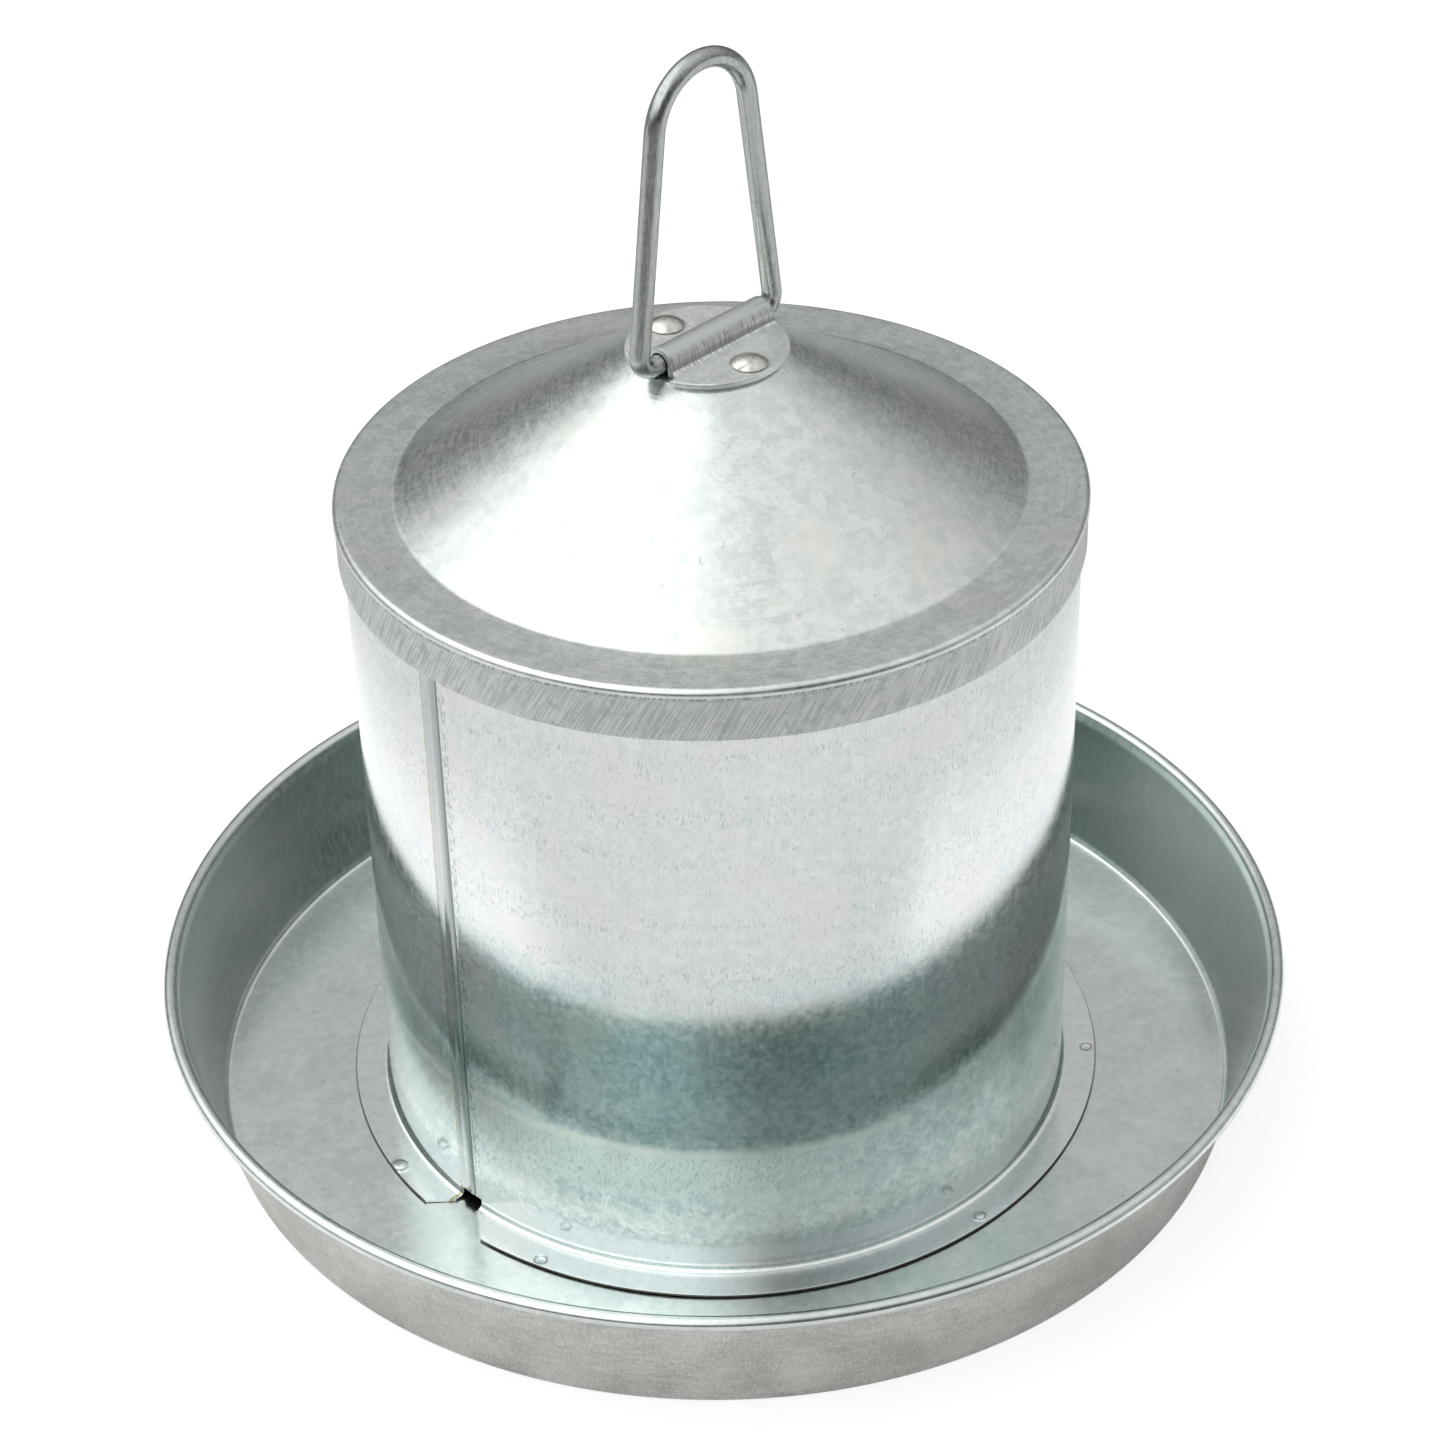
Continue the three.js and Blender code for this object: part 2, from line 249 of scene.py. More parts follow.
def prism(name, outline, low, high):
    """A straight-sided block on a plan outline in mm, used as a cutter."""
    count = len(outline)
    vertices = [(x * MM, y * MM, z * MM) for z in (low, high) for x, y in outline]
    sides = [(i, (i + 1) % count, (i + 1) % count + count, i + count) for i in range(count)]
    faces = [tuple(reversed(range(count))), tuple(range(count, 2 * count)), *sides]
    return link(name, vertices, faces)


def polar(r, deg):
    """The point at a radius and an angle in degrees, from the middle."""
    return (r * math.cos(math.radians(deg)), r * math.sin(math.radians(deg)))


def smooth(x, low, high):
    """0 below low, 1 above high, and an S-curve between."""
    t = np.clip((x - low) / (high - low), 0, 1)
    return t * t * (3 - 2 * t)


# ------------------------------------------------------------------ tray
def tray_profile():
    """Half section of the tray: its underside, flared wall and curled rim, then back inside."""
    lean = math.degrees(math.atan2(
        RIM_ROLL_R_CENTRE - RIM_ROLL_R - TRAY_BASE_R, RIM_ROLL_Z - TRAY_CORNER_R))
    corner_r = TRAY_BASE_R - TRAY_CORNER_R
    roll_r, roll_z = RIM_ROLL_R_CENTRE, RIM_ROLL_Z
    start = 180 - lean
    edge = SHEET / 2
    tip = polar(RIM_ROLL_R - edge, RIM_CURL_END)
    return through(
        (0, 0),
        (TRAY_FLAT_R, 0),
        arc(corner_r, TRAY_CORNER_R, TRAY_CORNER_R, -90, -lean, 8),
        arc(roll_r, roll_z, RIM_ROLL_R - SHEET, start, RIM_CURL_END, 30),
        arc(roll_r + tip[0], roll_z + tip[1], edge, RIM_CURL_END - 180, RIM_CURL_END - 360, 6)[-2:0:-1],
        arc(roll_r, roll_z, RIM_ROLL_R, RIM_CURL_END, start, 40),
        arc(corner_r, TRAY_CORNER_R, TRAY_CORNER_R - SHEET, -lean, -90, 8),
        (TRAY_FLAT_R, SHEET),
        (0, SHEET),
    )


def tray_warp(r, z, turn):
    """The floor's faint ripple, the wall's faint waves, and the press line half way up it."""
    a = np.radians(turn)
    on_wall = smooth(r, TRAY_BASE_R, TRAY_BASE_R + 2) * (1 - smooth(z, 33, 35.5))
    wave = 0.05 * np.sin(5 * a + 0.7) + 0.035 * np.sin(9 * a + 2.1) + 0.02 * np.sin(23 * a)
    press = -0.12 * np.exp(-((z - TRAY_PRESS_LINE_Z) / 1.1) ** 2)
    on_floor = (r < TRAY_BASE_R - 4) * smooth(r, 30, TRAY_FLAT_R)
    ripple = 0.05 * (np.sin(4 * a + r / 19) + 0.6 * np.sin(7 * a - r / 11)) + 0.07
    return on_wall * (wave + press), on_floor * np.maximum(ripple, 0) * 0.8


def make_tray():
    piece = lathe("drinking_tray", tray_profile(), bearings_with(384), False, tray_warp)
    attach(piece, "base")
    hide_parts("tray")
    return piece


# ------------------------------------------------------------------ outer wall
SPOT_WELDS = (  # bearing in degrees, radius, rise and size in mm
    (-150.6, 99.6, 0.40, 2.0),
    (-119.4, 98.9, -0.28, 1.6),
    (-48.9, 98.4, 0.34, 1.5),
    (-4.0, 98.8, -0.14, 1.5),
    (46.0, 98.6, 0.15, 1.5),
    (97.0, 98.9, -0.15, 1.5),
    (151.0, 98.7, 0.15, 1.5),
)


def outer_wall_profile():
    """Half section of the cylinder and its flange, with close points where the welds are."""
    bend_r = WALL_R + WALL_BEND_R
    bend_z = FLANGE_TOP_Z + WALL_BEND_R
    edge = 0.12
    flange_top = [(FOOT_R - edge - 0.3 * i, FLANGE_TOP_Z) for i in range(1, 24)]
    return through(
        arc(FOOT_R - edge, FOOT_Z + edge, edge, -90, 0, 3),
        arc(FOOT_R - edge, FLANGE_TOP_Z - edge, edge, 0, 90, 3),
        flange_top,
        arc(bend_r, bend_z, WALL_BEND_R, 270, 180, 10),
        arc(WALL_R - edge, WALL_TOP_Z - edge, edge, 0, 90, 3),
        arc(WALL_R - SHEET + edge, WALL_TOP_Z - edge, edge, 90, 180, 3),
        arc(bend_r, bend_z, WALL_BEND_R + SHEET, 180, 270, 8),
        (FOOT_R - edge - 0.5, FOOT_Z),
    )


def seam_rise(off):
    """Height of the lock seam over the wall at a distance in mm to the right of its middle."""
    half = SEAM_WIDTH / 2
    left = smooth(off, -half - 0.05, -half + 0.18)
    right = 1 - smooth(off, half - 0.75, half + 0.1)
    lap = 0.10 * (1 - smooth(off, half + 0.2, half + 1.6)) * smooth(off, half - 0.3, half)
    groove = -0.16 * np.exp(-((off - half - 0.25) / 0.28) ** 2)
    fold = -0.07 * np.exp(-((off + 0.2) / 0.8) ** 2)
    return SEAM_HEIGHT * left * right + lap + groove + fold * left * right


def wall_warp(r, z, turn):
    """Rolling waves of the thin wall, the lock seam and the spot welds of the flange."""
    a = np.radians(turn)
    up = smooth(z, FOOT_Z + 2.5, FOOT_Z + 9) * (1 - smooth(z, WALL_TOP_Z - 12, WALL_TOP_Z - 4))
    waves = 0.10 * np.sin(3 * a + 0.6 + z / 90) + 0.05 * np.sin(8 * a - 1.3 - z / 60)
    waves = waves + 0.02 * np.sin(21 * a + z / 25)
    off = np.radians((turn - SEAM_DEG + 180) % 360 - 180) * WALL_R
    outer = (r > WALL_R - 0.05) & (z > FLANGE_TOP_Z + 0.1)
    rise = seam_rise(off) * smooth(z, FOOT_Z + 2.2, FOOT_Z + 5.5) * (1 - smooth(z, 165, 168) * 0.2)
    out = up * waves + np.where(outer & (r < WALL_R + 0.6), rise, 0)
    lift = np.zeros_like(r)
    flange = r > WALL_R + WALL_BEND_R
    top = (z > FOOT_Z + SHEET / 2) & (z < FLANGE_TOP_Z + 0.2) & flange
    for bearing, radius, height, size in SPOT_WELDS:
        dx = np.radians((turn - bearing + 180) % 360 - 180) * radius
        dy = r - radius
        d = np.hypot(dx, dy * 1.15) / size
        bead = np.exp(-(d * 1.25) ** 4) + 0.45 * np.exp(-((d - 1.05) / 0.22) ** 2)
        lift = lift + np.where(top, height * bead, 0)
    flutter = 0.05 * np.sin(6 * a + 1.0) + 0.04 * np.sin(17 * a)
    lift = lift + np.where(flange, smooth(r, WALL_R + 2, FOOT_R) * (flutter + 0.09), 0)
    return out, lift


def make_outer_wall():
    """The cylinder with its foot flange, open at the foot of the seam."""
    windows = [(SEAM_DEG, 4.5, 0.09)] + [(w[0], 2.4, 0.16) for w in SPOT_WELDS]
    turn = bearings_with(400, *windows)
    piece = lathe("outer_wall_shell", outer_wall_profile(), turn, True, wall_warp)
    # The cut goes through the foot of the wall at the seam and opens outwards in the flange.
    notch = prism("notch", [
        polar(88, SEAM_DEG - 1.2),
        polar(95, SEAM_DEG - 1.2),
        polar(104, SEAM_DEG - 5.2),
        polar(104, SEAM_DEG + 9.8),
        polar(94.5, SEAM_DEG + 3.2),
        polar(88, SEAM_DEG + 3.2),
    ], FOOT_Z - 1, FLANGE_TOP_Z + NOTCH_HEIGHT)
    cut(piece, notch)
    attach(piece, "base")
    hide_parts("outer_wall")
    return piece


# ------------------------------------------------------------------ bell tank
def make_tank():
    """The bell tank: a flange under the lid, and the sheet folded inwards at its lower edge."""
    bend_r = TANK_R + TANK_BEND_R
    bend_z = TANK_TOP_Z - SHEET - TANK_BEND_R
    profile = through(
        (TANK_R, TANK_BOTTOM_Z + 0.2),
        arc(bend_r, bend_z, TANK_BEND_R, 180, 90, 6),
        (TANK_FLANGE_R, TANK_TOP_Z - SHEET),
        (TANK_FLANGE_R, TANK_TOP_Z),
        arc(bend_r, bend_z, TANK_BEND_R + SHEET, 90, 180, 6),
        (TANK_R - SHEET, TANK_BOTTOM_Z + 4.4),
        (TANK_R - SHEET - TANK_HEM, TANK_BOTTOM_Z + 3.8),
        arc(TANK_R - SHEET, TANK_BOTTOM_Z + TANK_HEM, TANK_HEM, 180, 270, 5),
        (TANK_R - 0.2, TANK_BOTTOM_Z),
    )

    def warp(r, z, turn):
        a = np.radians(turn)
        middle = smooth(z, TANK_BOTTOM_Z + 5, TANK_BOTTOM_Z + 15) * (1 - smooth(z, 165, 175))
        return middle * (0.06 * np.sin(4 * a + z / 70) + 0.03 * np.sin(11 * a)), 0 * z

    piece = lathe("bell_tank_wall", profile, bearings_with(288), True, warp)
    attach(piece, "tank")
    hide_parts("tank_wall")
    return piece


# ------------------------------------------------------------------ lid
def lid_profile():
    """Half section of the lid: up the inside to the skirt's edge, and back over the outside."""
    slope = math.degrees(math.atan2(PLATEAU_Z - ANNULUS_Z, CONE_FOOT_R - PLATEAU_R))
    half_turn = math.tan(math.radians(slope / 2))
    foot_r = CONE_FOOT_R + CONE_FOOT_BEND * half_turn
    lower_r = SKIRT_R - SKIRT_STEP
    corner = (SKIRT_R - LID_CORNER_R, ANNULUS_Z - LID_CORNER_R)
    inner = SHEET * half_turn
    edge = 0.14
    return through(
        (0, PLATEAU_Z - SHEET),
        (PLATEAU_R - inner, PLATEAU_Z - SHEET),
        arc(foot_r, ANNULUS_Z + CONE_FOOT_BEND, CONE_FOOT_BEND + SHEET, 270 - slope, 270, 6),
        arc(*corner, LID_CORNER_R - SHEET, 90, 0, 5),
        (SKIRT_R - SHEET, SKIRT_STEP_Z - 0.2),
        (lower_r - SHEET, SKIRT_STEP_Z - 0.8),
        arc(lower_r - SHEET + edge, SKIRT_BOTTOM_Z + edge, edge, 180, 270, 3),
        arc(lower_r - edge, SKIRT_BOTTOM_Z + edge, edge, 270, 360, 3),
        arc(lower_r + 0.3, SKIRT_STEP_Z - 0.75, 0.3, 180, 120, 4),
        arc(SKIRT_R - 0.22, SKIRT_STEP_Z - 0.18, 0.22, -60, 0, 4),
        arc(*corner, LID_CORNER_R, 0, 90, 14),
        arc(foot_r, ANNULUS_Z + CONE_FOOT_BEND, CONE_FOOT_BEND, 270, 270 - slope, 10),
        arc(PLATEAU_R - 1.0, PLATEAU_Z - 1.9, 1.9, 90 - slope + 3, 92, 5),
        (0, PLATEAU_Z),
    )


def lid_warp(r, z, turn):
    """Spun unevenness of cone, annulus and skirt, zero at the corner so that the box stays."""
    a = np.radians(turn)
    cone = smooth(r, 20, 30) * (1 - smooth(r, 74, 79))
    flat = smooth(r, 80, 82) * (1 - smooth(r, 89, 91.5))
    lift = cone * (0.07 * np.sin(3 * a + r / 21) + 0.04 * np.sin(6 * a - r / 9 + 1.2))
    lift = lift + cone * 0.015 * np.sin(r * 1.3)
    lift = lift + flat * (0.05 * np.sin(5 * a + 0.4) + 0.03 * np.sin(12 * a)) - flat * 0.05
    skirt = (z < SKIRT_STEP_Z - 1.5) * -0.04
    return skirt * (1 + np.sin(7 * a) * 0.7 + np.sin(15 * a) * 0.3), lift


def drill_rivet_holes(piece, z):
    """Cuts the two rivet holes through the sheet that lies at the given height."""
    for side in (1, -1):
        x, y, _ = across(0, side * RIVET_OFFSET, 0)
        outline = [(x + RIVET_HOLE_R * math.cos(t), y + RIVET_HOLE_R * math.sin(t))
                   for t in np.linspace(0, TAU, 32, endpoint=False)]
        cut(piece, prism("hole", outline, z - 5, z + 5))


def make_lid():
    piece = lathe("lid_sheet", lid_profile(), bearings_with(432), False, lid_warp)
    drill_rivet_holes(piece, PLATEAU_Z)
    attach(piece, "tank")
    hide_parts("lid")
    return piece


# ------------------------------------------------------------------ hinge plate
def knuckle_section(off):
    """Heights of the plate's top and of its underside, at a distance beside the pin's axis."""
    ridge = KNUCKLE_R + PLATE_THICK
    flat = PLATE_Z + PLATE_THICK
    fillet = 0.9
    d = abs(off)
    if d < ridge * 0.985:
        top = max(HINGE_Z + math.sqrt(ridge ** 2 - d ** 2), flat)
    else:
        top = flat + fillet * math.exp(-max(d - ridge, 0) / fillet * 1.6)
    under = HINGE_Z + math.sqrt(KNUCKLE_R ** 2 - d ** 2) if d < KNUCKLE_R else PLATE_Z
    return top, under


def sheet_faces(rows, columns):
    """Faces of a closed sheet: a grid of vertices on top, then the same grid underneath."""
    faces = []
    size = rows * columns
    for i in range(rows - 1):
        for j in range(columns - 1):
            a, b = i * columns + j, (i + 1) * columns + j
            faces.append((a, a + 1, b + 1, b))
            faces.append((size + a, size + b, size + b + 1, size + a + 1))
    for i in range(rows - 1):
        for j in (0, columns - 1):
            a, b = i * columns + j, (i + 1) * columns + j
            faces.append((a, b, size + b, size + a))
    for i in (0, rows - 1):
        for j in range(columns - 1):
            a = i * columns + j
            faces.append((a, a + 1, size + a + 1, size + a))
    return faces


def make_hinge_plate():
    """A grid over the plate in the hinge's directions: rows beside the pin, columns along it.

    Its edges are rounded, and one small dent lies on the half towards the front right.
    """
    ridge = KNUCKLE_R + PLATE_THICK
    flat = list(np.linspace(ridge + 0.02, WIRE_GAP_HALF - 0.01, 9))
    flat += list(np.linspace(WIRE_GAP_HALF + 0.01, PLATE_R - 1.1, 24))
    flat += [PLATE_R - inset for inset in (0.9, 0.6, 0.4, 0.22, 0.1, 0.03)]
    dome = [ridge * math.sin(t) for t in np.linspace(-math.pi / 2, math.pi / 2, 33)][1:-1]
    bore = [KNUCKLE_R * math.sin(t) for t in np.linspace(-math.pi / 2, math.pi / 2, 25)]
    offs = sorted(set([-f for f in flat] + dome + bore + flat))
    edge = 0.42
    along = [0, 0.004, 0.012, 0.024, 0.04, *np.linspace(0.055, 0.945, 46), 0.96, 0.976, 0.988, 0.996, 1]
    columns, rows = len(along), len(offs)
    tops, unders = [], []
    for off in offs:
        chord = math.sqrt(max(PLATE_R ** 2 - off ** 2, 0))
        on_knuckle = abs(off) < ridge + 0.3
        low = max(-chord, KNUCKLE_FRONT) if abs(off) < WIRE_GAP_HALF else -chord
        high = min(chord, KNUCKLE_BACK) if on_knuckle else chord
        top, under = knuckle_section(off)
        for t in along:
            s = low + (high - low) * t
            gap = min(s - low, high - s, PLATE_R - abs(off))
            inset = 1 - min(gap / edge, 1)
            drop = edge * (1 - math.sqrt(max(1 - inset ** 2, 0)))
            if off < -ridge:
                drop += 0.16 * math.exp(-(((s - 4.5) / 4.5) ** 2 + ((off + 9.5) / 2.6) ** 2))
            z = max(top - drop, under + 0.25)
            tops.append(Vector(across(s, off, z)) * MM)
            unders.append(Vector(across(s, off, under)) * MM)
    piece = link("hinge_plate_pressing", tops + unders, sheet_faces(rows, columns), sharp_deg=40)
    drill_rivet_holes(piece, PLATE_Z)
    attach(piece, "tank")
    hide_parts("hinge_plate")
    return piece


# ------------------------------------------------------------------ rivets and washers
def make_rivet(number, side):
    """A domed head over the plate, a shank through both sheets and a flared tail below."""
    low, high = corners(f"rivet_{number}")
    x, y, _ = across(0, side * RIVET_OFFSET, 0)
    height = RIVET_HEAD_HEIGHT
    under = high.z - height
    tail_z = low.z + RIVET_TAIL_HEIGHT
    dome_r = (RIVET_HEAD_R ** 2 + height ** 2) / (2 * height)
    dome = math.degrees(math.asin(RIVET_HEAD_R / dome_r))
    profile = through(
        (0, low.z),
        arc(RIVET_TAIL_R - 0.7, low.z + 0.7, 0.7, -90, 0, 5),
        (RIVET_TAIL_R, tail_z - 0.1),
        (RIVET_SHANK_R, tail_z),
        (RIVET_SHANK_R, under),
        arc(RIVET_HEAD_R - 0.25, under + 0.25, 0.25, -90, 10, 4),
        arc(0, high.z - dome_r, dome_r, 90 - dome + 3, 90, 16),
    )
    piece = lathe(f"rivet_head_{number}", profile, bearings_with(72), False, centre=(x, y))
    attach(piece, "tank")
    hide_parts(f"rivet_{number}")
    return piece


def make_washer(number, side):
    """The sealing ring between the lid and a rivet's tail."""
    low, high = corners(f"rivet_washer_{number}")
    x, y, _ = across(0, side * RIVET_OFFSET, 0)
    outer_r, inner_r = 0.3, 0.15
    profile = through(
        arc(WASHER_HOLE_R + inner_r, low.z + inner_r, inner_r, 180, 270, 3),
        arc(WASHER_R - outer_r, low.z + outer_r, outer_r, -90, 0, 4),
        arc(WASHER_R - outer_r, high.z - outer_r, outer_r, 0, 90, 4),
        arc(WASHER_HOLE_R + inner_r, high.z - inner_r, inner_r, 90, 180, 3),
    )
    piece = lathe(f"rivet_seal_{number}", profile, bearings_with(48), True, centre=(x, y))
    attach(piece, "tank")
    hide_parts(f"rivet_washer_{number}")
    return piece


# ------------------------------------------------------------------ bail
def bail_path():
    """The wire's axis as points of (along the hinge, height), from pin end to pin end."""
    top_z = BAIL_TOP_Z - BAIL_TOP_R
    foot_z = HINGE_Z + BAIL_BEND_R
    reach = math.hypot(BAIL_LEG_FOOT, top_z - foot_z)
    touch = math.degrees(math.atan2(foot_z - top_z, BAIL_LEG_FOOT) + math.acos(BAIL_TOP_R / reach))
    half = through(
        (BAIL_PIN_GAP, HINGE_Z),
        arc(BAIL_PIN_END, foot_z, BAIL_BEND_R, -90, touch, 14),
        arc(0, top_z, BAIL_TOP_R, touch, 90, 24),
    )
    return half + [(-s, z) for s, z in reversed(half[:-1])]


def bail_rings():
    """Rings of the wire as (place, direction, radius), rounded off at its two ends."""
    path = [np.array(p) for p in bail_path()]
    rings = []
    for i, place in enumerate(path):
        step = path[min(i + 1, len(path) - 1)] - path[max(i - 1, 0)]
        rings.append((place, step / np.linalg.norm(step), WIRE_R))
    (start, start_way, _), (end, end_way, _) = rings[0], rings[-1]
    rounding = [(0.0, 0.55), (0.12, 0.30), (0.35, 0.12), (0.6, 0.0)]
    head = [(start + start_way * back, start_way, WIRE_R - less) for back, less in rounding]
    tail = [(end - end_way * back, end_way, WIRE_R - less) for back, less in reversed(rounding)]
    return head + rings[1:-1] + tail


def make_bail():
    """The wire: a tube through its rings, closed by a flat face at each end."""
    sides = 40
    rings = bail_rings()
    vertices, faces = [], []
    for p, d, r in rings:
        out = (-d[1], d[0])
        for k in range(sides):
            t = TAU * k / sides
            lean = r * math.cos(t)
            place = across(p[0] + out[0] * lean, r * math.sin(t), p[1] + out[1] * lean)
            vertices.append(Vector(place) * MM)
    for i in range(len(rings) - 1):
        for k in range(sides):
            n = (k + 1) % sides
            a, b = i * sides + k, i * sides + n
            faces.append((a, b, b + sides, a + sides))
    last = (len(rings) - 1) * sides
    faces.append(tuple(reversed(range(sides))))
    faces.append(tuple(last + k for k in range(sides)))
    piece = link("bail_wire_loop", vertices, faces, sharp_deg=40)
    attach(piece, "bail")
    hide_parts("bail")
    return piece


# ------------------------------------------------------------------ material helpers
class Nodes:
    """Short calls that add value and colour nodes to a node tree."""

    def __init__(self, tree):
        self.tree = tree

    def feed(self, socket, value):
        if isinstance(value, bpy.types.NodeSocket):
            self.tree.links.new(value, socket)
        else:
            socket.default_value = value

    def math(self, operation, *values):
        node = self.tree.nodes.new("ShaderNodeMath")
        node.operation = operation
        for socket, value in zip(node.inputs, values):
            self.feed(socket, value)
        return node.outputs[0]

    def times(self, first, *others):
        for other in others:
            first = self.math("MULTIPLY", first, other)
        return first

    def plus(self, first, *others):
        for other in others:
            first = self.math("ADD", first, other)
        return first

    def minus(self, a, b):
        return self.math("SUBTRACT", a, b)

    def absolute(self, value):
        return self.math("ABSOLUTE", value)

    def hypot(self, a, b):
        return self.math("SQRT", self.plus(self.math("POWER", a, 2.0), self.math("POWER", b, 2.0)))

    def apart(self, value, place):
        """How far the value is from the place, on either side of it."""
        return self.absolute(self.minus(value, place))

    def weigh(self, *pairs):
        """The sum of the values, each times its weight, from pairs of (value, weight)."""
        return self.plus(*(self.times(value, weight) for value, weight in pairs))

    def span(self, value, low, high, to_low=0.0, to_high=1.0):
        """The value's stretch from low to high, mapped smoothly onto the new one and clamped."""
        node = self.tree.nodes.new("ShaderNodeMapRange")
        node.interpolation_type = "SMOOTHSTEP"
        for socket, v in zip(node.inputs, (value, low, high, to_low, to_high)):
            self.feed(socket, v)
        return node.outputs[0]

    def fade(self, value, low, high, full=1.0):
        """Full up to low, nothing from high on, and an S-curve between."""
        return self.span(value, low, high, full, 0.0)

    def combine(self, x, y, z):
        node = self.tree.nodes.new("ShaderNodeCombineXYZ")
        for socket, value in zip(node.inputs, (x, y, z)):
            self.feed(socket, value)
        return node.outputs[0]

    def noise(self, vector, size, detail=2.0, rough=0.5, distortion=0.0):
        """Noise from 0 to 1 whose features are about size mm across."""
        node = self.tree.nodes.new("ShaderNodeTexNoise")
        node.inputs["Scale"].default_value = 1 / size
        node.inputs["Detail"].default_value = detail
        node.inputs["Roughness"].default_value = rough
        node.inputs["Distortion"].default_value = distortion
        self.tree.links.new(vector, node.inputs["Vector"])
        return node.outputs["Fac"]

    def cells(self, vector, size):
        """One random grey for each crystal about size mm across."""
        node = self.tree.nodes.new("ShaderNodeTexVoronoi")
        node.inputs["Scale"].default_value = 1 / size
        self.tree.links.new(vector, node.inputs["Vector"])
        grey = self.tree.nodes.new("ShaderNodeSeparateColor")
        self.tree.links.new(node.outputs["Color"], grey.inputs[0])
        return grey.outputs[0]

    def mix(self, factor, a, b):
        node = self.tree.nodes.new("ShaderNodeMix")
        node.data_type = "RGBA"
        self.feed(node.inputs[0], factor)
        self.feed(node.inputs[6], a)
        self.feed(node.inputs[7], b)
        return node.outputs[2]

    def by_ray(self, others, seen, surface):
        """Feeds a surface with one shader for camera rays and one for all other rays."""
        path = self.tree.nodes.new("ShaderNodeLightPath")
        choose = self.tree.nodes.new("ShaderNodeMixShader")
        self.tree.links.new(path.outputs["Is Camera Ray"], choose.inputs[0])
        self.tree.links.new(others, choose.inputs[1])
        self.tree.links.new(seen, choose.inputs[2])
        self.tree.links.new(choose.outputs[0], surface)


class Recipe(Nodes):
    """A node material on a Principled shader, in the part's coordinates in mm."""

    def __init__(self, name, metallic=1.0):
        self.material = bpy.data.materials.new(name)
        self.material.use_nodes = True
        super().__init__(self.material.node_tree)
        self.shader = self.tree.nodes["Principled BSDF"]
        self.shader.inputs["Metallic"].default_value = metallic
        place = self.tree.nodes.new("ShaderNodeTexCoord").outputs["Object"]
        scale = self.tree.nodes.new("ShaderNodeVectorMath")
        scale.operation = "SCALE"
        scale.inputs["Scale"].default_value = 1 / MM
        self.tree.links.new(place, scale.inputs[0])
        self.place = scale.outputs[0]
        split = self.tree.nodes.new("ShaderNodeSeparateXYZ")
        self.tree.links.new(self.place, split.inputs[0])
        self.x, self.y, self.z = split.outputs

    def stretched(self, sx, sy, sz):
        """The part's coordinates times these: under 1, a pattern is drawn out that way."""
        node = self.tree.nodes.new("ShaderNodeMapping")
        node.inputs["Scale"].default_value = (sx, sy, sz)
        self.tree.links.new(self.place, node.inputs[0])
        return node.outputs[0]

    def radius(self):
        return self.hypot(self.x, self.y)

    def from_bearing(self, degrees):
        """The bearing round the tray's axis, less the given one, in radians."""
        return self.minus(self.math("ARCTAN2", self.y, self.x), math.radians(degrees))

    def bump(self, height, depth, normal=None):
        """Relief whose height, from 0 to 1, is depth mm."""
        node = self.tree.nodes.new("ShaderNodeBump")
        node.inputs["Strength"].default_value = 1.0
        node.inputs["Distance"].default_value = depth * MM
        self.feed(node.inputs["Height"], height)
        if normal:
            self.tree.links.new(normal, node.inputs["Normal"])
        return node.outputs["Normal"]

    def finish(self, colour, roughness, normal=None):
        self.feed(self.shader.inputs["Base Color"], colour)
        self.feed(self.shader.inputs["Roughness"], roughness)
        if normal:
            self.tree.links.new(normal, self.shader.inputs["Normal"])
        return self.material


def tone(r, g, b):
    return (r, g, b, 1.0)


